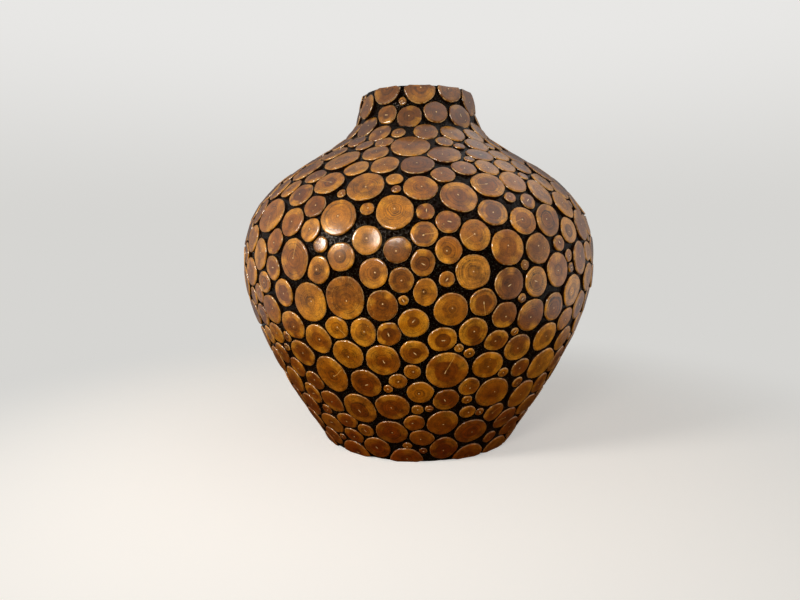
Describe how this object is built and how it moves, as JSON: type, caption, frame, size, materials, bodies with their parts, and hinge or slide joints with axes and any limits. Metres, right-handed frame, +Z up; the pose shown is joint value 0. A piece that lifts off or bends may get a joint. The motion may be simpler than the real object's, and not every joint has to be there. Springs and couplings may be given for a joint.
{
  "type": "wooden vase",
  "caption": "Round-bellied hollow vase with a short neck, covered with cross-cut branch slices set in black resin.",
  "frame": {"origin": "middle of the underside", "axes": "+Z up along the axis of the vase, through the middle of the mouth; -Y is the side that faces the camera"},
  "size_m": [0.4058, 0.4059, 0.4],
  "materials": {
    "vessel_wood": "turned wood, oiled",
    "bed_resin": "black resin and filler between the slices, rough but glossy",
    "slice_wood": "honey and brown end grain, sanded to the curve and lacquered"
  },
  "bodies": {
    "root": {"inner_vessel": "vessel_wood", "mosaic_bed": "bed_resin", "branch_slice_01": "slice_wood", "branch_slice_02": "slice_wood", "branch_slice_03": "slice_wood", "branch_slice_04": "slice_wood", "branch_slice_05": "slice_wood", "branch_slice_06": "slice_wood", "branch_slice_07": "slice_wood", "branch_slice_08": "slice_wood", "branch_slice_09": "slice_wood", "branch_slice_10": "slice_wood", "branch_slice_11": "slice_wood", "branch_slice_12": "slice_wood", "branch_slice_13": "slice_wood", "branch_slice_14": "slice_wood", "branch_slice_15": "slice_wood", "branch_slice_16": "slice_wood", "branch_slice_17": "slice_wood", "branch_slice_18": "slice_wood", "branch_slice_19": "slice_wood", "branch_slice_20": "slice_wood", "branch_slice_21": "slice_wood", "branch_slice_22": "slice_wood", "branch_slice_23": "slice_wood", "branch_slice_24": "slice_wood", "branch_slice_25": "slice_wood", "branch_slice_26": "slice_wood", "branch_slice_27": "slice_wood", "branch_slice_28": "slice_wood", "branch_slice_29": "slice_wood", "branch_slice_30": "slice_wood", "branch_slice_31": "slice_wood", "branch_slice_32": "slice_wood", "branch_slice_33": "slice_wood", "branch_slice_34": "slice_wood", "branch_slice_35": "slice_wood", "branch_slice_36": "slice_wood"}
  },
  "joints": []
}
